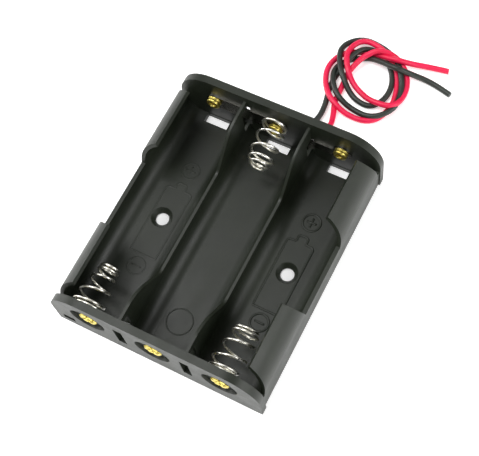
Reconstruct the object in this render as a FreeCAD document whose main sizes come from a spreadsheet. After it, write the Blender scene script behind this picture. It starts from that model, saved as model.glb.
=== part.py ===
import FreeCAD, Part
import math
import os
import re
import Sketcher

V = FreeCAD.Vector
os.makedirs("parts", exist_ok=True)
doc = FreeCAD.newDocument("cylindrical_cell_holder")

# Driving sizes, in millimetres.
# The origin is the middle of the case's underside: +X to the right, +Y to the end with the leads.
SIZES = [
    ("case_length", 57.5, "over the two end walls"),
    ("case_height", 15.0, "top of the end walls"),
    ("end_wall", 1.7, "thickness of an end wall"),
    ("end_corner", 7.75, "radius of an end wall's top corners"),
    ("side_room", 1.25, "from the outer bays' share of the width to the end walls' sides"),
    ("flange", 0.3, "how far the end walls stand out past the sides"),
    ("side_wall", 0.9, "thickness of a side wall"),
    ("curl_radius", 7.5, "outer radius of a side wall's curl"),
    ("curl_height", 7.4, "where a side wall starts to curl in"),
    ("lip_reach", 3.2, "how far a lip reaches in from the inner face of its side"),
    ("floor_thick", 1.3, "floor of the case"),
    ("root_radius", 3.5, "fillet from the floor to walls and partitions"),
    ("base_edge", 0.4, "bevel along the lower edges of the sides"),
    ("bay_pitch", 15.1, "from one cell's axis to the next"),
    ("axis_height", 8.55, "a cell's axis above the underside"),
    ("partition", 0.6, "thickness of a partition"),
    ("partition_top", 13.4, "top of a partition at the end walls"),
    ("partition_low", 6.0, "top of a partition along the middle"),
    ("shoulder_start", 23.4, "where a partition's top starts to fall"),
    ("shoulder_radius", 8.0, "round shoulder of a partition"),
    ("sweep_radius", 2.0, "hollow at the foot of the shoulder"),
    ("notch_bottom", 16.0, "length of the finger notch at its bottom"),
    ("notch_top", 21.0, "length of the finger notch at the lip"),
    ("notch_height", 6.3, "bottom of the finger notch"),
    ("lip_gap_foot", 0.75, "gap from lip to end wall at its foot"),
    ("lip_gap_head", 3.25, "gap from lip to end wall at its head"),
    ("lip_gap_height", 6.0, "foot of that gap"),
    ("vent_width", 5.6, "slot in the floor at each end of a bay"),
    ("vent_length", 2.2, "slot in the floor, along the bay"),
    ("vent_inset", 0.1, "from the end wall to that slot"),
    ("screw_bore", 3.0, "screw hole"),
    ("screw_sink", 4.8, "countersink of the screw hole"),
    ("recess_bore", 7.9, "round recess in an end wall's outer face"),
    ("recess_depth", 0.8, "depth of that recess"),
    ("rivet_bore", 2.5, "hole for an eyelet"),
    ("passage_width", 2.0, "slot through an end wall beside a partition"),
    ("passage_foot", 4.3, "bottom of that slot"),
    ("passage_head", 11.5, "top of that slot"),
    ("passage_relief", 2.2, "how far the partition is cut back there"),
    ("lead_slot_head", 8.6, "top of the lower slot that the red lead passes"),
    ("lead", 1.3, "a lead over its insulation"),
    ("lead_core", 0.7, "the bare strands of a lead"),
    ("lead_play", 0.2, "room round a lead in its groove"),
    ("groove_depth", 1.5, "groove for the black lead in the underside"),
    ("cut_length", 2.8, "that cut, along the bay"),
    ("cut_depth", 2.2, "that cut, up from the underside"),
    ("slit_width", 2.8, "slit in the near wall beside the left recess"),
    ("slit_height", 2.0, "that slit, upwards"),
    ("slit_inset", 3.0, "that slit's middle, from the end wall's side"),
    ("slit_depth", 0.7, "that slit, into the wall"),
    ("plate", 0.3, "contact strip and solder tags"),
    ("plate_width", 4.2, "contact strip and solder tags, across"),
    ("tongue_width", 2.4, "tongue of a solder tag"),
    ("tongue_reach", 5.6, "from the minus tag's eyelet to its solder joint"),
    ("tail_out", 0.7, "how far the plus tag's tail stands out of the far wall"),
    ("shank", 2.4, "eyelet between its two heads"),
    ("shank_bore", 1.4, "hole through an eyelet"),
    ("head", 3.6, "eyelet's head inside the bay"),
    ("head_height", 0.9, "eyelet's head, along its axis"),
    ("head_crown", 0.5, "bevel round that head"),
    ("flare", 4.5, "eyelet's rolled end in the recess"),
    ("flare_height", 0.5, "that rolled end, along its axis"),
    ("wire", 0.55, "spring wire"),
    ("spring_base", 6.6, "middle of the wire, across the spring's foot"),
    ("spring_tip", 4.6, "middle of the wire, across the spring's tip"),
    ("spring_length", 10.8, "free length of a spring"),
    ("close_pitch", 0.62, "turns that lie on each other"),
    ("under_head_turns", 0.75, "turns of a spring under its eyelet's head"),
    ("foot_turns", 1.25, "closed turns at a spring's foot"),
    ("open_turns", 2.75, "open turns"),
    ("tip_turns", 1.75, "closed turns at the tip"),
    ("spring_lean", 2.0, "how far the left spring's tip leans to its side"),
    ("seat_play", 0.05, "room under a spring's foot"),
    ("solder_width", 2.4, "solder joint, across its foot"),
    ("solder_height", 1.5, "solder joint, above its tag"),
    ("tail_solder", 1.2, "solder joint on the plus tag's tail, across its foot"),
    ("tail_solder_height", 0.65, "that solder joint, above the tail"),
    ("solder_film", 0.12, "solder between the tail and its strands"),
    ("lead_off_wall", 1.35, "a lead's middle from the end wall's inner face"),
    ("coil_outer", 10.2, "outer radius of the lead's loose coil"),
    ("coil_inner", 5.4, "inner radius of that coil"),
    ("coil_height", 4.6, "height of that coil"),
    ("coil_across", 10.6, "that coil's middle, to the right"),
    ("coil_beyond", 49.4, "that coil's middle, past the case's middle"),
]
sheet = doc.addObject("Spreadsheet::Sheet", "Sizes")
for row, (alias, number, note) in enumerate(SIZES, start=1):
    sheet.set(f"A{row}", note)
    sheet.set(f"B{row}", str(number))
    sheet.setAlias(f"B{row}", alias)
doc.recompute()
WORDS = {alias for alias, _, _ in SIZES}

# Places that several pieces share.
INNER_END = "(case_length / 2 - end_wall)"
CASE_SIDE = "(1.5 * bay_pitch + side_room)"
BODY_SIDE = f"({CASE_SIDE} - flange)"
CURL_MIDDLE = f"({BODY_SIDE} - curl_radius)"
GROOVE = "(bay_pitch / 2)"


def bound(text):
    """An expression with each size's word tied to its cell in the sheet."""
    return re.sub(r"[a-z_]+", lambda word: f"Sizes.{word[0]}" if word[0] in WORDS else word[0], text)


def size(text):
    """The number that such an expression gives now."""
    return float(sheet.evalExpression(bound(text)))


def piece(label):
    """An empty body with the piece's name."""
    made = doc.addObject("PartDesign::Body", label)
    made.Label = label
    return made


def origin_plane(body, role):
    return next(feature for feature in body.Origin.OriginFeatures if feature.Role == role)


def sketch_on(body, name, role, offset="0"):
    """A sketch on one of the body's own planes, moved along its normal."""
    sketch = body.newObject("Sketcher::SketchObject", name)
    sketch.AttachmentSupport = [(origin_plane(body, role), "")]
    sketch.MapMode = "FlatFace"
    sketch.setExpression("AttachmentOffset.Base.z", bound(offset))
    return sketch


def pin(sketch, geometry, point, place):
    """Hold one point of a sketch at a place given by two expressions."""
    for kind, axis, text in (("DistanceX", -2, place[0]), ("DistanceY", -1, place[1])):
        now = size(text)
        if abs(now) < 1e-9:
            sketch.addConstraint(Sketcher.Constraint("PointOnObject", geometry, point, axis))
            continue
        ends = (-1, 1, geometry, point) if now > 0 else (geometry, point, -1, 1)
        held = sketch.addConstraint(Sketcher.Constraint(kind, *ends, abs(now)))
        sketch.setExpression(f"Constraints[{held}]", bound(text if now > 0 else f"-({text})"))


def outline(sketch, corners, arcs=None):
    """A closed outline through corners; arcs gives the centre and radius of an edge."""
    arcs = arcs or {}
    count = len(corners)
    places = [V(size(across), size(upward), 0) for across, upward in corners]
    ends = []
    for edge in range(count):
        start, stop = places[edge], places[(edge + 1) % count]
        if edge in arcs:
            centre, radius = arcs[edge]
            middle = V(size(centre[0]), size(centre[1]), 0)
            reach = ((start + stop) * 0.5 - middle).normalize() * size(radius)
            made = sketch.addGeometry(Part.Arc(start, middle + reach, stop))
            held = sketch.addConstraint(Sketcher.Constraint("Radius", made, size(radius)))
            sketch.setExpression(f"Constraints[{held}]", bound(radius))
        else:
            made = sketch.addGeometry(Part.LineSegment(start, stop))
        forward = (sketch.getPoint(made, 1) - start).Length < 1e-6
        ends.append((made, 1 if forward else 2, 2 if forward else 1))
    for edge in range(count):
        made, start, stop = ends[edge]
        after = ends[(edge + 1) % count]
        sketch.addConstraint(Sketcher.Constraint("Coincident", made, stop, after[0], after[1]))
        pin(sketch, made, start, corners[edge])


def box_outline(sketch, left, right, low, high):
    outline(sketch, [(left, low), (right, low), (right, high), (left, high)])


def ring(sketch, place, across):
    """A circle by its centre and its diameter."""
    middle = V(size(place[0]), size(place[1]), 0)
    made = sketch.addGeometry(Part.Circle(middle, V(0, 0, 1), size(across) / 2))
    held = sketch.addConstraint(Sketcher.Constraint("Diameter", made, size(across)))
    sketch.setExpression(f"Constraints[{held}]", bound(across))
    pin(sketch, made, 3, place)


def feature(body, kind, name, sketch, length=None, side="One side", reversed_way=False):
    """A pad or pocket of a sketch; without a length it goes through everything."""
    made = body.newObject(f"PartDesign::{kind}", name)
    made.Profile = sketch
    made.SideType = side
    made.Reversed = reversed_way
    if length is None:
        made.Type = "ThroughAll"
    else:
        made.setExpression("Length", bound(length))
    return made


def mirrored(body, name, originals, role):
    made = body.newObject("PartDesign::Mirrored", name)
    made.Originals = originals
    made.MirrorPlane = (origin_plane(body, role), [""])
    body.Tip = made
    return made


# The case is one moulding of black plastic: a trough in three bays, pulled from a mould whose
# parting line runs along the rims. Its sides curl in over the outer cells.
case = piece("case")


def trough_section(sketch):
    """The section across the bays: floor, root fillets, partition stubs, sides and curled lips."""
    inner_radius = "(curl_radius - side_wall)"
    inner_side = f"({BODY_SIDE} - side_wall)"
    lip_in = f"({inner_side} - lip_reach)"
    lip_run = f"({lip_in} - {CURL_MIDDLE})"
    lip_rise = f"sqrt({inner_radius}^2 - {lip_run}^2)"
    grown = f"(curl_radius / {inner_radius})"
    root_top = "(floor_thick + root_radius)"
    face_out = "(bay_pitch / 2 + partition / 2)"
    face_in = "(bay_pitch / 2 - partition / 2)"
    right = [
        (f"{BODY_SIDE} - base_edge", "0"),
        (BODY_SIDE, "base_edge"),
        (BODY_SIDE, "curl_height"),
        (f"{CURL_MIDDLE} + {lip_run} * {grown}", f"curl_height + {lip_rise} * {grown}"),
        (lip_in, f"curl_height + {lip_rise}"),
        (inner_side, "curl_height"),
        (inner_side, root_top),
        (f"{inner_side} - root_radius", "floor_thick"),
        (f"{face_out} + root_radius", "floor_thick"),
        (face_out, root_top),
        (face_in, root_top),
        (f"{face_in} - root_radius", "floor_thick"),
    ]
    left = [(f"-({across})", upward) for across, upward in reversed(right)]
    curl = (CURL_MIDDLE, "curl_height")
    right_arcs = {
        2: (curl, "curl_radius"),
        4: (curl, inner_radius),
        6: ((f"{inner_side} - root_radius", root_top), "root_radius"),
        8: ((f"{face_out} + root_radius", root_top), "root_radius"),
        10: ((f"{face_in} - root_radius", root_top), "root_radius"),
    }
    last = len(right) + len(left) - 2
    left_arcs = {
        last - edge: ((f"-({centre[0]})", centre[1]), radius)
        for edge, (centre, radius) in right_arcs.items()
    }
    outline(sketch, right + left, {**right_arcs, **left_arcs})


section = sketch_on(case, "trough_section", "XZ_Plane")
trough_section(section)
feature(case, "Pad", "trough", section, "case_length - 2 * end_wall", side="Symmetric")

# End walls: plates with round top corners that stand out past the sides like a thin flange.
wall_sketch = sketch_on(case, "end_wall_outline", "XZ_Plane", "-case_length / 2")
wall_side, wall_round = CASE_SIDE, "(case_height - end_corner)"
outline(
    wall_sketch,
    [
        (f"-{wall_side}", "0"),
        (wall_side, "0"),
        (wall_side, wall_round),
        (f"{wall_side} - end_corner", "case_height"),
        (f"-({wall_side} - end_corner)", "case_height"),
        (f"-{wall_side}", wall_round),
    ],
    {
        2: ((f"{wall_side} - end_corner", wall_round), "end_corner"),
        4: ((f"-({wall_side} - end_corner)", wall_round), "end_corner"),
    },
)
far_wall = feature(case, "Pad", "far_end_wall", wall_sketch, "end_wall")
mirrored(case, "near_end_wall", [far_wall], "XZ_Plane")

# Partitions: thin webs that are high at the ends and fall in a rounded shoulder to a low middle.
web_sketch = sketch_on(case, "partition_outline", "YZ_Plane", GROOVE)
half_root = "sqrt(0.5)"
fall_start = f"(shoulder_start - shoulder_radius * {half_root})"
fall_top = f"(partition_top - shoulder_radius * (1 - {half_root}))"
fall_foot = f"(partition_low + sweep_radius * (1 - {half_root}))"
fall_end = f"({fall_start} - {fall_top} + {fall_foot})"
low_start = f"({fall_end} - sweep_radius * {half_root})"
shoulder = [
    (INNER_END, "partition_top"),
    ("shoulder_start", "partition_top"),
    (fall_start, fall_top),
    (fall_end, fall_foot),
    (low_start, "partition_low"),
]
near_shoulder = [(f"-{along}", upward) for along, upward in reversed(shoulder)]
shoulder_centre = ("shoulder_start", "partition_top - shoulder_radius")
sweep_centre = (low_start, "partition_low + sweep_radius")
outline(
    web_sketch,
    [(f"-{INNER_END}", "floor_thick / 2"), (INNER_END, "floor_thick / 2")] + shoulder + near_shoulder,
    {
        3: (shoulder_centre, "shoulder_radius"),
        5: (sweep_centre, "sweep_radius"),
        7: ((f"-{sweep_centre[0]}", sweep_centre[1]), "sweep_radius"),
        9: ((f"-{shoulder_centre[0]}", shoulder_centre[1]), "shoulder_radius"),
    },
)
web = feature(case, "Pad", "right_partition", web_sketch, "partition", side="Symmetric")
mirrored(case, "left_partition", [web], "YZ_Plane")

# Finger notches: the sides drop to a low rail along the middle, so that a cell can be pushed out.
notch_sketch = sketch_on(case, "finger_notch_outline", "YZ_Plane")
outline(
    notch_sketch,
    [
        ("-notch_bottom / 2", "notch_height"),
        ("notch_bottom / 2", "notch_height"),
        ("notch_top / 2", "case_height"),
        ("-notch_top / 2", "case_height"),
    ],
)
feature(case, "Pocket", "finger_notches", notch_sketch, f"4 * {CASE_SIDE}", side="Symmetric")

# The lips stop short of the end walls, in a gap that widens upwards and lets the sides flex.
gap_sketch = sketch_on(case, "lip_gap_outline", "YZ_Plane", "bay_pitch")
for way in ("", "-"):
    outline(
        gap_sketch,
        [
            (f"{way}({INNER_END} - lip_gap_foot)", "lip_gap_height"),
            (f"{way}{INNER_END}", "lip_gap_height"),
            (f"{way}{INNER_END}", "case_height"),
            (f"{way}({INNER_END} - lip_gap_head)", "case_height"),
        ],
    )
lip_gaps = feature(case, "Pocket", "right_lip_gaps", gap_sketch, reversed_way=True)
mirrored(case, "left_lip_gaps", [lip_gaps], "YZ_Plane")

# A slot in the floor at each end of each bay, under the place of its contact.
vent_sketch = sketch_on(case, "vent_outlines", "XY_Plane")
for bay in (-1, 0, 1):
    outline(
        vent_sketch,
        [
            (f"{bay} * bay_pitch - vent_width / 2", f"{INNER_END} - vent_inset - vent_length"),
            (f"{bay} * bay_pitch + vent_width / 2", f"{INNER_END} - vent_inset - vent_length"),
            (f"{bay} * bay_pitch + vent_width / 2", f"{INNER_END} - vent_inset"),
            (f"{bay} * bay_pitch - vent_width / 2", f"{INNER_END} - vent_inset"),
        ],
    )
vents = feature(case, "Pocket", "far_vents", vent_sketch, "floor_thick", reversed_way=True)
mirrored(case, "near_vents", [vents], "XZ_Plane")

# Each end wall has a round recess and an eyelet hole at every cell's axis, and at each partition
# a slot that lets a contact strip or a lead pass.
recess_sketch = sketch_on(case, "recess_outlines", "XZ_Plane", "-case_length / 2")
rivet_sketch = sketch_on(case, "rivet_hole_outlines", "XZ_Plane", "-case_length / 2")
for bay in (-1, 0, 1):
    ring(recess_sketch, (f"{bay} * bay_pitch", "axis_height"), "recess_bore")
    ring(rivet_sketch, (f"{bay} * bay_pitch", "axis_height"), "rivet_bore")
recesses = feature(case, "Pocket", "far_recesses", recess_sketch, "recess_depth", reversed_way=True)
rivet_holes = feature(case, "Pocket", "far_rivet_holes", rivet_sketch, "end_wall", reversed_way=True)
mirrored(case, "near_recesses", [recesses, rivet_holes], "XZ_Plane")


def passage(name, way, offset, head, into):
    """A slot through an end wall at one partition, which is cut back behind it."""
    sketch = sketch_on(case, f"{name}_outline", "XZ_Plane", offset)
    left, right = f"{way}{GROOVE} - passage_width / 2", f"{way}{GROOVE} + passage_width / 2"
    box_outline(sketch, left, right, "passage_foot", head)
    feature(case, "Pocket", name, sketch, "end_wall + passage_relief", reversed_way=into)


passage("far_strip_passage", "-", "-case_length / 2", "passage_head", True)
passage("far_lead_passage", "", "-case_length / 2", "lead_slot_head", True)
passage("near_left_passage", "-", "case_length / 2", "passage_head", False)
passage("near_strip_passage", "", "case_length / 2", "passage_head", False)

# A shallow slit low in the near wall, beside the left recess.
slit_sketch = sketch_on(case, "slit_outline", "XZ_Plane", "case_length / 2")
box_outline(
    slit_sketch,
    f"-{CASE_SIDE} + slit_inset - slit_width / 2",
    f"-{CASE_SIDE} + slit_inset + slit_width / 2",
    "slit_height",
    "2 * slit_height",
)
feature(case, "Pocket", "near_slit", slit_sketch, "slit_depth")

# The black lead crosses below the case: down through a cut beside the near wall, then along a
# groove under the left partition, where the root fillets leave the floor thickest.
cut_sketch = sketch_on(case, "lead_cut_outline", "XY_Plane")
cut_edge = "(-bay_pitch + tongue_reach * sqrt(0.5) - lead / 2 - lead_play)"
groove_edge = f"(-{GROOVE} + (lead + lead_play) / 2)"
box_outline(
    cut_sketch,
    cut_edge,
    groove_edge,
    f"-({INNER_END} - vent_inset)",
    f"-({INNER_END} - vent_inset) + cut_length",
)
feature(case, "Pocket", "lead_cut", cut_sketch, "cut_depth", reversed_way=True)
groove_sketch = sketch_on(case, "lead_groove_outline", "XZ_Plane", "-case_length / 2")
groove_far = f"(-{GROOVE} - (lead + lead_play) / 2)"
groove_spring = "(groove_depth - (lead + lead_play) / 2)"
outline(
    groove_sketch,
    [
        (groove_far, "0"),
        (groove_edge, "0"),
        (groove_edge, groove_spring),
        (f"-{GROOVE}", "groove_depth"),
        (groove_far, groove_spring),
    ],
    {edge: ((f"-{GROOVE}", groove_spring), "(lead + lead_play) / 2") for edge in (2, 3)},
)
feature(
    case,
    "Pocket",
    "lead_groove",
    groove_sketch,
    f"case_length / 2 + {INNER_END} - vent_inset - cut_length / 2",
    reversed_way=True,
)

# Two countersunk screw holes through the floor of the outer bays, half-way along.
screw_sketch = sketch_on(case, "screw_hole_places", "XY_Plane", "floor_thick")
for way in ("-", ""):
    ring(screw_sketch, (f"{way}bay_pitch", "0"), "screw_bore")
doc.recompute()
screws = case.newObject("PartDesign::Hole", "screw_holes")
screws.Profile = screw_sketch
screws.DepthType = "ThroughAll"
screws.Threaded = False
screws.HoleCutType = "Countersink"
screws.HoleCutCustomValues = True
screws.HoleCutCountersinkAngle = 90
screws.setExpression("Diameter", bound("screw_bore"))
screws.setExpression("HoleCutDiameter", bound("screw_sink"))
doc.recompute()


# The contacts sit at the end walls. Each is drawn on its own axes, with Z out of the wall into
# the bay, and is then stood at its wall: "far" faces -Y, and "near" is the far one turned half round.
def stand(body, end, bay):
    """Put a contact piece at a bay's axis on the inner face of one end wall."""
    turn = FreeCAD.Rotation(V(1, 0, 0), 90)
    if end == "near":
        turn = FreeCAD.Rotation(V(0, 0, 1), 180).multiply(turn)
    body.Placement = FreeCAD.Placement(V(), turn)
    way = "-" if end == "near" else ""
    body.setExpression("Placement.Base.x", bound(f"{bay} * bay_pitch"))
    body.setExpression("Placement.Base.y", bound(f"{way}{INNER_END}"))
    body.setExpression("Placement.Base.z", bound("axis_height"))


# Contact strips: one nickel-plated plate joins the plus of a bay to the minus of the next.
def contact_strip(label, end, bay):
    body = piece(label)
    outer = sketch_on(body, f"{label}_outline", "XY_Plane")
    half = "(plate_width / 2)"
    outline(
        outer,
        [
            ("0", f"-{half}"),
            ("bay_pitch", f"-{half}"),
            (f"bay_pitch + {half}", "0"),
            ("bay_pitch", half),
            ("0", half),
            (f"-{half}", "0"),
        ],
        {
            1: (("bay_pitch", "0"), half),
            2: (("bay_pitch", "0"), half),
            4: (("0", "0"), half),
            5: (("0", "0"), half),
        },
    )
    ring(outer, ("0", "0"), "rivet_bore")
    ring(outer, ("bay_pitch", "0"), "rivet_bore")
    feature(body, "Pad", f"{label}_plate", outer, "plate")
    stand(body, end, bay)


contact_strip("far_link_strip", "far", -1)
contact_strip("near_link_strip", "near", 1)


# Solder tags: a round plate under the eyelet with a tongue that carries the lead's solder joint.
def solder_tag(label, end, bay, tongue_corners):
    body = piece(label)
    disc = sketch_on(body, f"{label}_outline", "XY_Plane")
    ring(disc, ("0", "0"), "plate_width")
    feature(body, "Pad", f"{label}_plate", disc, "plate")
    tongue = sketch_on(body, f"{label}_tongue_outline", "XY_Plane")
    outline(tongue, tongue_corners)
    feature(body, "Pad", f"{label}_tongue", tongue, "plate")
    return body


def tag_hole(body, label, end, bay):
    hole = sketch_on(body, f"{label}_hole_outline", "XY_Plane")
    ring(hole, ("0", "0"), "rivet_bore")
    feature(body, "Pocket", f"{label}_hole", hole, "plate", reversed_way=True)
    stand(body, end, bay)


# The minus tag's tongue slants down inside the left bay.
slant = "(tongue_width / 2 * sqrt(0.5))"
reach = "tongue_reach * sqrt(0.5)"
negative_tag = solder_tag(
    "negative_tag",
    "near",
    -1,
    [
        (f"-{slant}", slant),
        (f"-{reach} - {slant}", f"-{reach} + {slant}"),
        (f"-{reach} - {slant}", f"-{reach} - {slant}"),
        (f"-{reach} + {slant}", f"-{reach} - {slant}"),
        (slant, f"-{slant}"),
    ],
)
tag_hole(negative_tag, "negative_tag", "near", -1)

# The plus tag's tongue runs level to the slot beside the right partition, where its tail is bent
# out through the far wall.
positive_tag = solder_tag(
    "positive_tag",
    "far",
    1,
    [
        ("0", "-tongue_width"),
        ("0", "0"),
        (f"-{GROOVE} - plate / 2", "0"),
        (f"-{GROOVE} - plate / 2", "-tongue_width"),
    ],
)
tail_sketch = sketch_on(positive_tag, "positive_tag_tail_outline", "XY_Plane", "plate")
tail_far, tail_near = f"-{GROOVE} - plate / 2", f"-{GROOVE} + plate / 2"
box_outline(tail_sketch, tail_far, tail_near, "-tongue_width", "0")
feature(
    positive_tag,
    "Pad",
    "positive_tag_tail",
    tail_sketch,
    "plate + end_wall + tail_out",
    reversed_way=True,
)
tag_hole(positive_tag, "positive_tag", "far", 1)


# Eyelets: hollow brass rivets, put through plate and wall and rolled over in the recess outside.
def eyelet(label, end, bay, under_head):
    body = piece(label)
    half = sketch_on(body, f"{label}_half_section", "XZ_Plane")
    recess_floor = "(end_wall - recess_depth)"
    head_foot = f"({under_head})"
    outline(
        half,
        [
            ("shank_bore / 2", f"-{recess_floor} - flare_height"),
            ("flare / 2 - flare_height / 2", f"-{recess_floor} - flare_height"),
            ("flare / 2", f"-{recess_floor}"),
            ("shank / 2", f"-{recess_floor}"),
            ("shank / 2", head_foot),
            ("head / 2", head_foot),
            ("head / 2", f"{head_foot} + head_height - head_crown"),
            ("head / 2 - head_crown", f"{head_foot} + head_height"),
            ("shank_bore / 2", f"{head_foot} + head_height"),
        ],
    )
    turned = body.newObject("PartDesign::Revolution", f"{label}_turned")
    turned.Profile = half
    turned.ReferenceAxis = (half, ["V_Axis"])
    turned.Angle = 360
    stand(body, end, bay)


ENDS = ("near", "far")
BAYS = {"left": -1, "middle": 0, "right": 1}
SPRING_SEATS = (("near", "left"), ("near", "right"), ("far", "middle"))
for end in ENDS:
    for side, bay in BAYS.items():
        on_spring = (end, side) in SPRING_SEATS
        eyelet(f"{end}_{side}_eyelet", end, bay, "plate + wire + 2 * seat_play" if on_spring else "plate")


# Springs: nickel-plated wire. The foot spirals out from under its eyelet's head into closed turns,
# the body tapers over a few open turns, and the tip is closed again for the cell to press on.
def spring_path(lean):
    """The wire's middle line: a curve through points whose radius and height follow the turns."""
    foot_turns, tip_turns = size("foot_turns"), size("tip_turns")
    inner = size("(shank + wire) / 2") + size("seat_play")
    foot, tip = size("spring_base / 2"), size("spring_tip / 2")
    start = size("plate + seat_play + wire / 2")
    pitch = size("close_pitch")
    top = start + size("spring_length - wire")
    knots = [0, size("under_head_turns")]
    for turns in (foot_turns, size("open_turns"), tip_turns):
        knots.append(knots[-1] + turns)
    radii = [inner, foot, foot, tip, tip]
    heights = [start, start, start + foot_turns * pitch, top - tip_turns * pitch, top]

    def between(turn, values):
        leg = max(k for k in range(4) if turn >= knots[k] or k == 0)
        share = (turn - knots[leg]) / (knots[leg + 1] - knots[leg])
        return values[leg] + share * (values[leg + 1] - values[leg])

    steps = 8
    points = []
    for step in range(round(knots[-1] * steps) + 1):
        turn = step / steps
        radius, height = between(turn, radii), between(turn, heights)
        angle = 2 * math.pi * turn
        aside = lean * (height - start) / (top - start)
        points.append(V(radius * math.cos(angle) + aside, radius * math.sin(angle), height))
    curve = Part.BSplineCurve()
    curve.interpolate(points)
    return curve


def spring(label, end, bay):
    curve = spring_path(size("spring_lean") if (end, bay) == ("near", -1) else 0)
    start, along = curve.value(curve.FirstParameter), curve.tangent(curve.FirstParameter)[0]
    sides = 6
    across = along.cross(V(0, 0, 1)).normalize()
    upward = across.cross(along).normalize()
    corners = []
    for side in range(sides + 1):
        angle = 2 * math.pi * (side + 0.5) / sides
        reach = size("wire / 2")
        corners.append(start + across * (reach * math.cos(angle)) + upward * (reach * math.sin(angle)))
    sweep = Part.BRepOffsetAPI.MakePipeShell(Part.Wire([curve.toShape()]))
    sweep.setBiNormalMode(V(0, 0, 1))
    sweep.add(Part.makePolygon(corners))
    sweep.build()
    sweep.makeSolid()
    made = doc.addObject("Part::Feature", label)
    made.Label = label
    made.Shape = sweep.shape()
    stand(made, end, bay)


for end, side in SPRING_SEATS:
    spring(f"{end}_{side}_spring", end, BAYS[side])


# Leads: stranded copper in a soft jacket. A lead is drawn as straight runs joined by tangent arcs.
def tube_path(points, name):
    """Runs and arcs through the route; each arc is as large as the shorter of its two runs allows."""
    corners = []
    for before, corner, after in zip(points, points[1:], points[2:]):
        arriving, leaving = corner - before, after - corner
        turn = arriving.getAngle(leaving)
        radius = 0.45 * min(arriving.Length, leaving.Length) / math.tan(turn / 2)
        back = radius * math.tan(turn / 2)
        first = corner - arriving.normalize() * back
        last = corner + leaving.normalize() * back
        inward = (first + last) * 0.5 - corner
        centre = corner + inward.normalize() * (radius / math.cos(turn / 2))
        middle = centre + (corner - centre).normalize() * radius
        corners.append((first, middle, last))
        print(f"{name}: turn {math.degrees(turn):.0f} degrees, radius {radius:.2f} mm")
    edges = []
    place = points[0]
    for first, middle, last in corners:
        edges.append(Part.LineSegment(place, first).toShape())
        edges.append(Part.Arc(first, middle, last).toShape())
        place = last
    edges.append(Part.LineSegment(place, points[-1]).toShape())
    return Part.Wire(edges)


def tube(label, points, across):
    """A round solid of one diameter along a route, with its volume held against section and length."""
    path = tube_path(points, label)
    section = Part.Circle(points[0], points[1] - points[0], across / 2).toShape()
    solid = path.makePipeShell([Part.Wire([section])], True, True)
    expected = math.pi * across**2 / 4 * path.Length
    print(f"{label}: length {path.Length:.1f} mm, volume against section {solid.Volume / expected:.4f}")
    made = doc.addObject("Part::Feature", label)
    made.Label = label
    made.Shape = solid
    return made


lead = size("lead")
lead_core = size("lead_core")
inner_end = size(INNER_END)
outer_end = size("case_length / 2")
groove_side = size(GROOVE)
groove_rise = size("groove_depth") - size("(lead + lead_play) / 2")
lead_line = inner_end - size("lead_off_wall")
tag_side = size("bay_pitch") - size("tongue_reach * sqrt(0.5)")
tag_height = size("axis_height") - size("tongue_reach * sqrt(0.5)")

# Solder joints: a small cone of solder on each tag, bored for the strands that it holds.
def solder_joint(label, across, height, foot, outward, strands):
    cone = Part.makeCone(across / 2, size("lead_core / 2"), height, foot, outward)
    made = doc.addObject("Part::Feature", label)
    made.Label = label
    made.Shape = cone.cut(strands)


def strands(label, start, stop):
    made = doc.addObject("Part::Feature", label)
    made.Label = label
    made.Shape = Part.makeCylinder(lead_core / 2, (stop - start).Length, start, stop - start)
    return made.Shape


# The red lead is soldered to the plus tag's tail in its slot, and its jacket starts outside.
tail_end = outer_end + size("tail_out")
tail_height = size("axis_height - tongue_width / 2")
red_side = groove_side - size("(plate + lead_core) / 2 + solder_film")
red_end = V(red_side, tail_end, tail_height)
red_strands = strands("positive_strands", red_end - V(0, 2 * lead_core, 0), red_end)
red_foot = V(groove_side - size("plate / 2"), tail_end - size("tail_solder / 2"), tail_height)
solder_joint(
    "positive_solder",
    size("tail_solder"),
    size("tail_solder_height"),
    red_foot,
    V(-1, 0, 0),
    red_strands,
)

# The black lead: from the minus tag of the left bay down through the cut and along the groove.
black_joint = V(-tag_side, -lead_line, tag_height)
black_top = black_joint - V(0, 0, size("solder_width / 2"))
black_inner = [
    black_top,
    V(-tag_side, -lead_line, groove_rise),
    V(-groove_side, -lead_line, groove_rise),
    V(-groove_side, outer_end, groove_rise),
]
black_strands = strands("negative_strands", black_joint, black_top)
black_foot = V(-tag_side, size("plate") - inner_end, tag_height)
solder_joint(
    "negative_solder",
    size("solder_width"),
    size("solder_height"),
    black_foot,
    V(0, 1, 0),
    black_strands,
)
tube("black_lead_inner", black_inner, lead)

# Loose ends of the leads: each goes down to the table and into one small coil of two turns, and
# its cut end lies beyond the coil. The coil is one ring of its outer shape.
RED_START = [
    red_end,
    V(6.95, 31.2, 6.4),
    V(7.3, 32.8, 3.8),
    V(7.6, 35.2, 1.8),
    V(7.2, 38.2, 1.0),
    V(6.6, 40.9, 0.75),
]
BLACK_START = [
    black_inner[-1],
    V(-7.2, 30.9, 0.75),
    V(-5.0, 32.4, 0.72),
    V(-2.2, 32.2, 0.7),
    V(0.8, 32.3, 0.72),
    V(3.2, 33.9, 0.75),
    V(4.2, 36.8, 0.75),
    V(4.0, 39.8, 0.72),
    V(4.4, 42.4, 0.75),
]
RED_TAIL = [
    V(17.9, 55.8, 1.9),
    V(20.6, 57.5, 1.3),
    V(23.4, 58.2, 0.78),
    V(26.2, 58.9, 0.7),
]
BLACK_TAIL = [
    V(18.9, 54.5, 1.9),
    V(22.2, 54.6, 1.1),
    V(25.6, 54.1, 0.76),
    V(28.9, 53.4, 0.7),
]
coil = doc.addObject("Part::Feature", "lead_coil")
coil.Label = "lead_coil"
coil_foot = V(size("coil_across"), size("coil_beyond"), 0)
coil_ring = Part.makeCylinder(size("coil_outer"), size("coil_height"), coil_foot)
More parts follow.
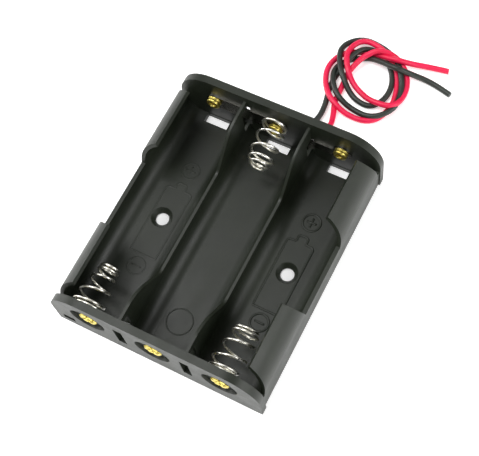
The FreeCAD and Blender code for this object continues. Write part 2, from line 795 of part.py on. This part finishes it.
coil.Shape = coil_ring.cut(Part.makeCylinder(size("coil_inner"), size("coil_height"), coil_foot))
for label, route in (
    ("red_lead_start", RED_START),
    ("black_lead_start", BLACK_START),
    ("red_lead_tail", RED_TAIL),
    ("black_lead_tail", BLACK_TAIL),
):
    tube(label, route, lead)

doc.recompute()
for made in doc.Objects:
    if {"Invalid", "Error"} & set(made.State):
        raise RuntimeError(f"{made.Label} failed: {made.State}")
finished = [made for made in doc.Objects if made.TypeId in ("PartDesign::Body", "Part::Feature")]
for made in finished:
    if made.Shape.isNull() or not made.Shape.isValid():
        raise RuntimeError(f"{made.Label} has no valid shape")
for made in finished:
    made.Shape.exportStep(f"parts/{made.Label}.step")
    print(f"{made.Label}: {made.Shape.Volume:.2f} mm3, {len(made.Shape.Solids)} solid")
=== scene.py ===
import bmesh
import bpy
import numpy as np
from mathutils import Matrix, Vector


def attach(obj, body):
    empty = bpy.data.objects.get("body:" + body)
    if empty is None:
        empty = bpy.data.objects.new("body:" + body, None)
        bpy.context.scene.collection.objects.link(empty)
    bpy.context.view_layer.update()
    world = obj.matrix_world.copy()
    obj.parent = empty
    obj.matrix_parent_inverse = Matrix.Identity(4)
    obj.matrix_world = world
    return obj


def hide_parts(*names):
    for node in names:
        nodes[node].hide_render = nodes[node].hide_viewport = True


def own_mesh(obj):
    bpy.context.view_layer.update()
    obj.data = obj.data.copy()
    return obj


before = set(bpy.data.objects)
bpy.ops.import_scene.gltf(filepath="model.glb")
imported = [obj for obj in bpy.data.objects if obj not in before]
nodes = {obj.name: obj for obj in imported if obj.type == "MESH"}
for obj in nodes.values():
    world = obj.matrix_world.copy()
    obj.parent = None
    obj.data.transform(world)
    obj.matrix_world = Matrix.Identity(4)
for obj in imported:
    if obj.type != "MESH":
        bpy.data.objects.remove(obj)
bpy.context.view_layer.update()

MM = 0.001  # the sizes below are in millimetres; Blender's are in metres


# The photograph's view: from the near right, high above the open top, a little turned about
# the line of sight. Its place and focal length come from the corners of the case.
EYE = np.array([62.0, -67.9, 211.9])
AZIMUTH, ELEVATION, ROLL = np.radians([39.807, 65.786, -13.522])
FOCAL, PICTURE_WIDTH, FILM_WIDTH = 1083.18, 479, 36.0


def camera_axes():
    """Right, up and back of the camera: the level axes of its direction, turned by the roll."""
    back = np.array(
        [
            np.sin(AZIMUTH) * np.cos(ELEVATION),
            -np.cos(AZIMUTH) * np.cos(ELEVATION),
            np.sin(ELEVATION),
        ]
    )
    level = np.array([np.cos(AZIMUTH), np.sin(AZIMUTH), 0.0])
    upright = np.cross(back, level)
    right = np.cos(ROLL) * level + np.sin(ROLL) * upright
    up = -np.sin(ROLL) * level + np.cos(ROLL) * upright
    return right, up, back


camera = bpy.data.objects.new("camera", bpy.data.cameras.new("camera"))
bpy.context.scene.collection.objects.link(camera)
bpy.context.scene.camera = camera
camera.matrix_world = Matrix.Translation(EYE * MM) @ Matrix(np.array(camera_axes()).T).to_4x4()
camera.data.sensor_fit = "HORIZONTAL"
camera.data.sensor_width = FILM_WIDTH
camera.data.lens = FOCAL * FILM_WIDTH / PICTURE_WIDTH
camera.data.clip_start = 10 * MM
camera.data.clip_end = 10


# Every finish is made of shader nodes. Arithmetic on a socket adds Math nodes, and any other
# node comes from one method.
class Socket:
    """One output of a material's node tree."""

    def __init__(self, tree, output=None):
        self.tree = tree
        self.output = output

    def node(self, kind, settings=(), inputs=(), output=0):
        """A node of one type: its settings first, then the values or links of its sockets."""
        made = self.tree.nodes.new(kind)
        for name, value in dict(settings).items():
            setattr(made, name, value)
        for name, value in dict(inputs).items():
            if isinstance(value, Socket):
                self.tree.links.new(value.output, made.inputs[name])
            else:
                made.inputs[name].default_value = value
        return Socket(self.tree, made.outputs[output])

    def math(self, operation, first, second):
        return self.node("ShaderNodeMath", {"operation": operation}, {0: first, 1: second})

    def __add__(self, other):
        return self.math("ADD", self, other)

    def __sub__(self, other):
        return self.math("SUBTRACT", self, other)

    def __rsub__(self, other):
        return self.math("SUBTRACT", other, self)

    def __mul__(self, other):
        return self.math("MULTIPLY", self, other)

    __radd__ = __add__
    __rmul__ = __mul__

    def noise(self, spots, detail=3.0, roughness=0.5):
        """Cloudy noise with so many spots to a metre."""
        sizes = {"Scale": spots, "Detail": detail, "Roughness": roughness}
        return self.node("ShaderNodeTexNoise", inputs={"Vector": self, **sizes})

    def limits(self, low, high, low_value=0.0, high_value=1.0):
        """The socket's values from low to high, spread over another range."""
        inputs = {"Value": self, "From Min": low, "From Max": high}
        inputs.update({"To Min": low_value, "To Max": high_value})
        return self.node("ShaderNodeMapRange", inputs=inputs)

    def blend(self, first, second):
        """A colour between two, by this socket."""
        inputs = {0: self, 6: first, 7: second}
        return self.node("ShaderNodeMix", {"data_type": "RGBA"}, inputs, output=2)

    def bump(self, depth, strength=1.0):
        """A normal from this socket as a height, of so many metres from 0 to 1."""
        inputs = {"Height": self, "Distance": depth, "Strength": strength}
        return self.node("ShaderNodeBump", inputs=inputs)


def finish(name):
    """A new material: its shader node, and the Object coordinates to build on."""
    made = bpy.data.materials.new(name)
    made.use_nodes = True
    shader = made.node_tree.nodes["Principled BSDF"]
    root = Socket(made.node_tree)
    place = root.node("ShaderNodeTexCoord", output="Object")
    return made, shader, place


def feed(material, shader, **sockets):
    """Set or link the shader's sockets; an underscore stands for a space in a socket's name."""
    for name, value in sockets.items():
        socket = shader.inputs[name.replace("_", " ")]
        if isinstance(value, Socket):
            material.node_tree.links.new(value.output, socket)
        else:
            socket.default_value = value


def colour(red, green, blue):
    """A colour written as it is seen, 0 to 255, as the linear one that a shader takes."""
    seen = np.array([red, green, blue]) / 255
    linear = np.where(seen <= 0.04045, seen / 12.92, ((seen + 0.055) / 1.055) ** 2.4)
    return (*linear.tolist(), 1.0)


def add_piece(name, data, body="holder"):
    """An object of the scene that moves with one body."""
    made = bpy.data.objects.new(name, data)
    bpy.context.scene.collection.objects.link(made)
    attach(made, body)
    return made


# The two leads: stranded copper in a soft jacket, red from the plus contact and black from the
# minus. They were wound together into one loose coil of two turns, and their cut ends pass under
# the coil's left side and out over its right.
LEAD = 1.3
COIL = np.array([10.6, 49.4])
COIL_STEP = 30  # degrees
RED_OUT = [
    (6.93, 29.45, 7.35),
    (7.05, 31.2, 6.4),
    (8.0, 32.7, 3.8),
    (8.5, 35.0, 1.8),
    (7.6, 38.2, 1.0),
    (6.5, 40.9, 0.68),
    (6.3, 42.8, 0.66),
]
RED_TURNS = [
    (5.2, 0.66), (4.7, 0.8), (4.4, 1.9), (5.6, 2.0), (7.2, 3.2), (8.8, 1.4), (9.1, 0.66),
    (9.4, 0.8), (9.8, 2.1), (6.0, 1.8), (3.7, 1.1), (3.3, 1.2), (3.6, 1.6), (4.9, 2.7),
    (8.2, 2.2), (10.4, 1.6), (8.3, 1.9), (7.3, 0.9), (6.8, 0.66), (7.2, 0.66), (9.1, 0.66),
    (11.0, 0.66), (10.2, 0.68), (9.9, 2.0), (9.5, 1.0), (9.8, 0.66), (9.1, 0.66), (7.4, 0.66),
]
RED_END = [
    (10.2, 56.0, 1.3),
    (13.3, 55.6, 2.5),
    (15.2, 55.7, 2.8),
    (16.7, 56.2, 2.2),
    (18.6, 57.0, 1.3),
    (22.0, 58.1, 0.72),
    (26.2, 58.8, 0.66),
]
BLACK_OUT = [
    (-7.6, 28.75, 0.75),
    (-7.2, 30.9, 0.75),
    (-5.0, 32.4, 0.72),
    (-2.2, 32.2, 0.7),
    (1.2, 32.0, 0.72),
    (3.9, 33.3, 0.75),
    (5.0, 36.4, 0.75),
    (4.8, 39.8, 0.72),
    (4.1, 42.6, 0.68),
    (3.6, 45.5, 0.66),
]
BLACK_TURNS = [
    (6.7, 0.66), (6.5, 2.0), (8.0, 1.6), (7.8, 0.7), (6.3, 0.66), (5.7, 0.66), (5.8, 0.66),
    (6.4, 0.66), (7.1, 0.66), (5.8, 0.66), (5.1, 1.1), (5.2, 2.0), (6.8, 2.2), (10.7, 1.2),
    (11.25, 0.68), (9.25, 0.66), (8.2, 1.3), (7.6, 1.7), (8.4, 1.1), (10.1, 1.5), (10.2, 1.3),
    (8.3, 0.7), (8.2, 2.0), (7.8, 1.7), (8.1, 0.68), (6.8, 0.66), (5.7, 0.7),
]
BLACK_END = [
    (9.4, 54.7, 1.2),
    (12.6, 54.2, 2.2),
    (14.6, 53.6, 2.9),
    (16.2, 53.5, 3.1),
    (17.7, 53.9, 2.3),
    (19.8, 54.4, 1.3),
    (22.4, 54.7, 0.72),
    (25.8, 54.2, 0.66),
    (28.8, 53.35, 0.66),
]


def coil_turns(first_angle, turns):
    """Points round the coil's middle: each has its own radius and height, a step further round."""
    placed = []
    for number, (radius, height) in enumerate(turns):
        angle = np.radians(first_angle - number * COIL_STEP)
        placed.append((*(COIL + radius * np.array([np.cos(angle), np.sin(angle)])), height))
    return placed


def jacket(name, tone, deep):
    """Soft plastic: its colour drifts a little along the lead, over a faint drawn grain."""
    made, shader, place = finish(name)
    drift = place.noise(260, 2.0).limits(0.35, 0.65)
    grain = place.noise(5200, 2.0)
    rough = place.noise(900, 2.0).limits(0.3, 0.7, 0.38, 0.5)
    feed(made, shader, Base_Color=drift.blend(deep, tone), Roughness=rough)
    feed(made, shader, Normal=grain.bump(0.02 * MM), Specular_IOR_Level=0.5)
    return made


def lead(name, route, tint, cad_nodes):
    """A lead as one smooth NURBS line with the route's points as its control points."""
    line = bpy.data.curves.new(name, "CURVE")
    line.dimensions = "3D"
    line.resolution_u = 6
    line.bevel_depth = LEAD / 2 * MM
    line.bevel_resolution = 5
    line.use_fill_caps = True
    spline = line.splines.new("NURBS")
    spline.points.add(len(route) - 1)
    places = np.c_[np.array(route) * MM, np.ones(len(route))]
    spline.points.foreach_set("co", places.ravel())
    spline.order_u = 3
    spline.use_endpoint_u = True
    line.materials.append(tint)
    made = add_piece(name, line)
    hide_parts(*cad_nodes)
    return made


red_jacket = jacket("red_jacket", colour(238, 22, 80), colour(226, 12, 66))
black_jacket = jacket("black_jacket", colour(42, 48, 42), colour(28, 34, 29))
RED_ROUTE = RED_OUT + coil_turns(-150, RED_TURNS) + RED_END
BLACK_ROUTE = BLACK_OUT + coil_turns(-180, BLACK_TURNS) + BLACK_END
RED_NODES = ["red_lead_start", "red_lead_tail", "lead_coil"]
BLACK_NODES = ["black_lead_start", "black_lead_tail"]
red_lead = lead("red_lead", RED_ROUTE, red_jacket, RED_NODES)
black_lead = lead("black_lead", BLACK_ROUTE, black_jacket, BLACK_NODES)


# The case: one black moulding with a fine, slightly worn satin skin. Its edges are broken by a
# small round, as the mould leaves them.
def merged(name):
    """A CAD node's triangles as one welded mesh, in the frame's own metres."""
    node = nodes[name]
    made = bpy.data.meshes.new(name + "_skin")
    welded = bmesh.new()
    welded.from_mesh(node.data)
    welded.transform(node.matrix_world)
    bmesh.ops.remove_doubles(welded, verts=welded.verts, dist=0.002 * MM)
    bmesh.ops.dissolve_limit(
        welded, angle_limit=np.radians(0.6), verts=welded.verts, edges=welded.edges
    )
    welded.to_mesh(made)
    welded.free()
    return made


def rounded(target, width, segments, angle):
    """Round the edges sharper than an angle, and shade the flats as flats."""
    edge = target.modifiers.new("edges", "BEVEL")
    edge.width = width
    edge.segments = segments
    edge.limit_method = "ANGLE"
    edge.angle_limit = np.radians(angle)
    target.data.shade_smooth()
    even = target.modifiers.new("normals", "WEIGHTED_NORMAL")
    even.weight = 100
    even.keep_sharp = True


def case_finish():
    """Black plastic: a fine spark-eroded grain, faint flow marks, and rubbed light patches."""
    made, shader, place = finish("case_plastic")
    grain = place.noise(9000, 2.0)
    cloud = place.noise(140, 4.0, 0.6).limits(0.3, 0.7)
    stretched = {"Vector": place, "Scale": (1.0, 0.4, 1.0)}
    flow = place.node("ShaderNodeMapping", inputs=stretched).noise(260, 4.0, 0.6)
    tone = cloud.blend(colour(25, 30, 21), colour(34, 39, 29))
    worn = flow.limits(0.3, 0.7, -0.05, 0.05)
    rough = (cloud * 0.06) + (grain * 0.08) + worn + 0.36
    feed(made, shader, Base_Color=tone, Roughness=rough, Specular_IOR_Level=0.42)
    feed(made, shader, Normal=grain.bump(0.02 * MM, 0.5))
    return made


case = add_piece("case_skin", merged("case"))
rounded(case, 0.12 * MM, 2, 35)
case.data.materials.append(case_finish())
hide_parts("case")


# What was moulded, rolled or wound has the same kind of surface: a row of rings. It runs round
# to its first ring again, or has a cap at both ends.
def ring_faces(rows, columns, capped):
    """The faces between the rings, as numbers of points, all of them seen from outside."""
    gaps = rows - 1 if capped else rows
    first, side = np.meshgrid(np.arange(gaps), np.arange(columns), indexing="ij")
    beyond, after = (first + 1) % rows, (side + 1) % columns
    corners = ((beyond, side), (beyond, after), (first, after), (first, side))
    faces = np.stack([row * columns + column for row, column in corners], axis=-1)
    faces = faces.reshape(-1, 4).tolist()
    if capped:
        ring = list(range(columns))
        faces += [ring, [(rows - 1) * columns + corner for corner in reversed(ring)]]
    return faces


def ring_mesh(name, grids):
    """One smooth mesh of several grids of points, each with a word on whether it has caps."""
    places, faces = [], []
    for grid, capped in grids:
        start = len(places)
        places += grid.reshape(-1, 3).tolist()
        for face in ring_faces(*grid.shape[:2], capped):
            faces.append([start + corner for corner in face])
    made = bpy.data.meshes.new(name)
    made.from_pydata(places, [], faces)
    made.shade_smooth()
    return made


# Moulded lines on the bays' floors: each outer bay shows the way its cell goes in, with a cell's
# outline between the signs of its two ends, and an ejector pin left a faint round mark.
FLOOR = 1.3
LINE_STEP = 0.25
MINUS_END, PLUS_END = -12.2, 12.4
SIGN, SIGN_RING = 1.1, 1.95
EJECTOR, EJECTOR_RADIUS = (-0.15, -19.15), 2.85


def circle(centre, radius):
    """Points round a centre on the floor."""
    angle = np.linspace(0, 2 * np.pi, 49)
    return np.array(centre) + radius * np.c_[np.cos(angle), np.sin(angle)]


def cell_outline(middle):
    """A cell seen from the side: its body from one end to the other, and its button on top."""
    half, button, foot, shoulder, top = 3.05, 1.15, -9.3, 7.3, 8.9
    slope, bevel = 0.5, 0.4
    right = [
        (half, foot),
        (half, shoulder - slope),
        (half - slope, shoulder),
        (button, shoulder),
        (button, top - bevel),
        (button - bevel, top),
    ]
    left = [(-across, along) for across, along in reversed(right)]
    return np.array([left[-1]] + right + left) + (middle, 0)


def even_steps(line, step):
    """The same line with its points so far apart."""
    lengths = np.r_[0, np.cumsum(np.linalg.norm(np.diff(line, axis=0), axis=1))]
    places = np.linspace(0, lengths[-1], max(2, int(lengths[-1] / step)))
    return np.c_[np.interp(places, lengths, line[:, 0]), np.interp(places, lengths, line[:, 1])]


def moulded_line(line, width, rise):
    """A low round ridge along a line on the floor: a half circle across it, sunk at both feet."""
    line = even_steps(line, LINE_STEP)
    along = np.gradient(line, axis=0)
    along /= np.linalg.norm(along, axis=1)[:, None]
    across = np.c_[-along[:, 1], along[:, 0]]
    angle = np.radians([192, 160, 125, 90, 55, 20, -12])
    ridge = []
    for turn in angle:
        spot = line + across * (width / 2 * np.cos(turn))
        ridge.append(np.c_[spot, np.full(len(line), FLOOR + rise * np.sin(turn))])
    return np.stack(ridge, axis=1)


def moulded_grid(line, width, rise):
    """The ridge in metres, and whether it has caps: one that comes back to its start has none."""
    line = np.array(line)
    grid = moulded_line(line, width, rise) * MM
    closed = np.allclose(line[0], line[-1])
    return (grid[:-1], False) if closed else (grid, True)


MARKS = [(circle(EJECTOR, EJECTOR_RADIUS), 0.3, 0.1)]
for middle, width, rise in ((14.8, 0.5, 0.17), (-14.6, 0.4, 0.035)):
    MARKS.append((cell_outline(middle), width, rise))
    for way in (MINUS_END, PLUS_END):
        MARKS.append((circle((middle, way), SIGN_RING), width, rise))
        MARKS.append(([(middle - SIGN, way), (middle + SIGN, way)], width, rise))
    MARKS.append(([(middle, PLUS_END - SIGN), (middle, PLUS_END + SIGN)], width, rise))
MARK_GRIDS = [moulded_grid(*mark) for mark in MARKS]
floor_marks = add_piece("floor_marks", ring_mesh("floor_marks", MARK_GRIDS))
floor_marks.data.materials.append(case.data.materials[0])


# Bright metal: nickel on the strips, tags and springs, brass on the eyelets, tinned copper and
# solder at the leads' ends.
def metal(name, bright, dull, rough, spots, scratches=0.4):
    """Plated metal: a dull film drifts over it, and fine scratches run through the plating."""
    made, shader, place = finish(name)
    film = place.noise(spots, 4.0, 0.6).limits(0.35, 0.7)
    drawn_out = {"Vector": place, "Scale": (1.0, 5.0, 0.6)}
    lines = place.node("ShaderNodeMapping", inputs=drawn_out).noise(1800, 2.0)
    feed(made, shader, Base_Color=film.blend(bright, dull), Metallic=1.0)
    feed(made, shader, Roughness=film.limits(0, 1, rough, rough + 0.14))
    feed(made, shader, Normal=lines.bump(0.004 * MM, scratches))
    return made


nickel = metal("nickel_plate", colour(160, 158, 152), colour(130, 128, 120), 0.16, 300, 0.02)
wire_nickel = metal("spring_wire", colour(255, 254, 248), colour(250, 246, 228), 0.24, 400, 0.02)
brass = metal("brass", colour(250, 232, 130), colour(186, 164, 74), 0.3, 800, 0.04)
copper = metal("tinned_strands", colour(226, 214, 206), colour(196, 160, 130), 0.3, 1500)
tin = metal("solder_tin", colour(214, 216, 218), colour(170, 172, 174), 0.22, 900)
CARRIED = {
    "far_link_strip": nickel,
    "near_link_strip": nickel,
    "positive_tag": nickel,
    "negative_tag": nickel,
    "positive_strands": copper,
    "negative_strands": copper,
    "positive_solder": tin,
    "negative_solder": tin,
    "black_lead_inner": black_jacket,
}
for carried, carried_finish in CARRIED.items():
    nodes[carried].data.materials.clear()
    nodes[carried].data.materials.append(carried_finish)


# Every contact piece stands at one end of one bay: its own axes are across, up, and out of the
# end wall along the bay.
INNER_END, PITCH, AXIS = 27.05, 15.1, 8.55


def stood(places, end, bay):
    """Points from a contact's own axes to the holder's, in metres; the ends face each other."""
    way = 1 if end == "far" else -1
    across, upward, outward = np.moveaxis(places, -1, 0)
    spots = (bay * PITCH + way * across, way * (INNER_END - outward), AXIS + upward)
    return MM * np.stack(spots, axis=-1)


# Eyelets: hollow brass rivets. The head inside the bay is a round dome, which is flatter where a
# spring goes over it; outside, the end was split and rolled over, which leaves petals with dark
# gaps between them. A head's foot is seated on a plate or on a spring's first turn.
SIDES = {-1: "left", 0: "middle", 1: "right"}
SPRUNG = (("near", -1), ("near", 1), ("far", 0))
PLATE_SEAT, SPRING_SEAT = 0.3, 0.91
HEAD_STRETCH = {"near": {-1: 0.1, 0: 0.55, 1: 0.1}, "far": {-1: 1.25, 0: 1.0, 1: 1.25}}
LIFT = {"near": 0.0, "far": 0.55}  # the far eyelets sit higher than the near ones
PETALS, PETAL_WIDTH, PETAL_DEPTH = 6, 1.7, 0.8
BORE, SPLIT = 0.7, -0.8
HEAD_SECTION = [
    (1.2, 0.0), (1.5, 0.0), (1.58, 0.08), (1.56, 0.2), (1.42, 0.3), (1.38, 0.36),
    (1.46, 0.46), (1.56, 0.62), (1.54, 0.8), (1.4, 0.96), (1.18, 1.04), (0.94, 1.02),
    (0.8, 0.92), (0.7, 0.7),
]
ROLLED_SECTION = [
    (0.7, -0.3), (0.72, -0.7), (0.84, -1.05), (1.08, -1.36), (1.4, -1.56), (1.74, -1.6),
    (1.96, -1.44), (2.04, -1.2), (2.0, -1.0), (1.8, -1.0), (1.5, -1.04), (1.24, -1.04),
    (1.2, -0.9),
]


def eyelet_points(head_foot, stretch):
    """The half section turned round the axis, with its head stretched along it. The rolled end's
    radius dips between the petals, and differs a little from one petal to the next."""
    head = [(radius, head_foot + rise * stretch) for radius, rise in HEAD_SECTION]
    turned = []
    for angle in np.linspace(0, 2 * np.pi, 72, endpoint=False):
        petal = np.clip(np.abs(np.cos(PETALS / 2 * angle)) * PETAL_WIDTH, 0, 1)
        uneven = 1 + 0.12 * np.sin(2 * angle + 0.7) + 0.1 * np.sin(5 * angle)
        ring = []
        for radius, rise in head + ROLLED_SECTION:
            if rise < SPLIT:
                reach = (radius - BORE) * (1 - (1 - petal) * PETAL_DEPTH)
                radius = BORE + reach * np.clip(uneven, 0, 1)
            ring.append((radius * np.cos(angle), radius * np.sin(angle), rise))
        turned.append(ring)
    return np.array(turned)


for end, stretches in HEAD_STRETCH.items():
    for bay, stretch in stretches.items():
        label = f"{end}_{SIDES[bay]}_eyelet"
        seat = SPRING_SEAT if (end, bay) in SPRUNG else PLATE_SEAT
        points = eyelet_points(seat, stretch) + (0, LIFT[end], 0)
        shaped = ring_mesh(label + "_shaped", [(stood(points, end, bay), False)])
        eyelet = add_piece(label + "_shaped", shaped)
        eyelet.data.materials.append(brass)
        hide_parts(label)


# Springs: bright wire. The foot spirals out from under the eyelet's head, the body narrows over
# two or three wide open turns, and the tip is closed. Each has settled a little out of true.
WIRE = 0.55
WIRE_STEPS, WIRE_SIDES = 320, 12
SMOOTHED = 21  # steps over which a bend between two knots is spread
TRAVEL = 8.4  # how far a cell can press a spring


def spring_line(knots, radii, heights, leans, lifts):
    """The wire's middle: its radius, height and drift aside and up run between knots in turns."""
    turn = np.linspace(0, knots[-1], WIRE_STEPS)
    edge = SMOOTHED // 2
    runs = []
    for values in (radii, heights, leans, lifts):
        run = np.interp(turn, knots, values)
        run[edge:-edge] = np.convolve(run, np.ones(SMOOTHED) / SMOOTHED, "valid")
        runs.append(run)
    radius, height, aside, upward = runs
    angle = 2 * np.pi * turn
    return np.c_[radius * np.cos(angle) + aside, radius * np.sin(angle) + upward, height]


def wire_points(middle, thickness):
    """A round wire about a line: at each step, a circle across its direction, drawn in at both
    ends."""
    along = np.gradient(middle, axis=0)
    along /= np.linalg.norm(along, axis=1)[:, None]
    across = np.cross(along, (0, 0, 1))
    across /= np.linalg.norm(across, axis=1)[:, None]
    upward = np.cross(across, along)
    reach = np.full(len(middle), thickness / 2)
    reach[[0, -1]] *= 0.1
    reach[[1, -2]] *= 0.9
    angle = np.linspace(0, 2 * np.pi, WIRE_SIDES, endpoint=False)
    ring = across[:, None] * np.cos(angle)[:, None] + upward[:, None] * np.sin(angle)[:, None]
    return middle[:, None] + reach[:, None, None] * ring


# For each spring: its end and bay, then the knots, radii, heights, leans and lifts of its line.
SPRINGS = {
    "near_left": (
        ("near", -1),
        [0, 0.75, 1.25, 2.25, 3, 4, 5, 6, 6.5],
        [1.5, 2.9, 3.25, 3.3, 3.1, 2.4, 2.0, 1.95, 1.95],
        [0.63, 0.63, 0.75, 1.45, 3.4, 6.9, 9.1, 9.9, 10.2],
        [0, 0.8, 1.2, 1.5, 1.6, 1.6, 1.5, 1.4, 1.4],
        [0, 0, 0, 0, 0, 0, 0, 0, 0],
    ),
    "near_right": (
        ("near", 1),
        [0, 0.75, 1.25, 2.25, 3, 4, 5, 6, 6.5],
        [1.5, 2.7, 2.8, 2.95, 3.1, 3.1, 2.75, 2.4, 2.3],
        [0.63, 0.63, 0.7, 1.3, 2.75, 6.3, 9.3, 10.1, 10.5],
        [0, 0.3, 0.6, 0.7, 0.7, 0.1, -0.1, -0.1, -0.1],
        [0, 0, 0, 0, 0, 0.2, 0.2, 0.2, 0.2],
    ),
    "far_middle": (
        ("far", 0),
        [0, 0.5, 1.5, 2.5, 3.5, 4.5, 5.5, 6.25],
        [1.6, 2.6, 2.7, 2.8, 2.9, 2.4, 1.9, 1.3],
        [0.63, 0.63, 1.15, 4.1, 7.4, 9.3, 10.2, 10.6],
        [0, -0.2, -0.2, -0.2, 0.2, 0.1, 0.3, 0.3],
        [0.3, 1.4, 1.4, 0.8, 0.3, 0.1, 0, 0],
    ),
}
for name, ((end, bay), *runs) in SPRINGS.items():
    points = stood(wire_points(spring_line(*runs), WIRE), end, bay)
    wire = add_piece(name + "_wire", ring_mesh(name + "_wire", [(points, True)]), name + "_coil")
    wire.data.materials.append(wire_nickel)
    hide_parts(name + "_spring")
    heights = runs[2]
    foot, top = heights[0] - WIRE / 2, heights[-1] + WIRE / 2
    1 - TRAVEL / (top - foot)
    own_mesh(wire)


# The table: a plain white sheet under soft light. It glows a little, as an overexposed sheet does,
# but not under the case: the glow is taken away there as painted shade, so the screw holes look
# into shade.
PAINTED_SHADE_END, GLOW_START = 17 * MM, 23 * MM  # distances from the case's middle


def table_top():
    """A level square, a little below the case's underside."""
    half, level = 1.2, -0.02 * MM
    square = ((-half, -half), (half, -half), (half, half), (-half, half))
    corners = [(across, along, level) for across, along in square]
    made = bpy.data.meshes.new("table")
    made.from_pydata(corners, [], [(0, 1, 2, 3)])
    return made


floor = bpy.data.objects.new("table", table_top())
bpy.context.scene.collection.objects.link(floor)
table_finish, table_shader, spot = finish("table_white")
from_middle = spot.node("ShaderNodeVectorMath", {"operation": "LENGTH"}, {0: spot}, "Value")
# Painted shade: the sheet's glow is black under the case and rises to full glow further out.
glow_cut_by_painted_shade = from_middle.limits(PAINTED_SHADE_END, GLOW_START).blend((0, 0, 0, 1), (1, 1, 1, 1))
feed(table_finish, table_shader, Base_Color=colour(252, 252, 252), Roughness=0.9)
feed(table_finish, table_shader, Specular_IOR_Level=0.0)
feed(table_finish, table_shader, Emission_Color=glow_cut_by_painted_shade, Emission_Strength=0.48)
floor.data.materials.append(table_finish)

world = bpy.data.worlds.new("studio")
bpy.context.scene.world = world
world.use_nodes = True
world_root = Socket(world.node_tree)
seen = world_root.node("ShaderNodeLightPath", output="Is Camera Ray")
background = world.node_tree.nodes["Background"]
background.inputs["Color"].default_value = (1, 1, 1, 1)
world.node_tree.links.new((seen * 0.79 + 0.21).output, background.inputs["Strength"])


def soft_light(name, place, across, watts):
    """A square lamp at a place, in metres, that faces the case."""
    lamp = bpy.data.lights.new(name, "AREA")
    lamp.shape = "SQUARE"
    lamp.size = across
    lamp.energy = watts
    made = bpy.data.objects.new(name, lamp)
    bpy.context.scene.collection.objects.link(made)
    made.location = place
    made.rotation_euler = (-Vector(place)).to_track_quat("-Z", "Y").to_euler()


soft_light("key", (-0.26, -0.06, 0.7), 0.4, 3.4)
soft_light("back", (-0.05, 0.42, 0.5), 0.4, 0.45)
soft_light("right", (0.52, 0.02, 0.3), 0.35, 2.0)
soft_light("near", (0.25, -0.5, 0.12), 0.3, 1.2)
soft_light("left", (-0.55, -0.05, 0.2), 0.3, 1.6)

bpy.context.scene.view_settings.view_transform = "Standard"
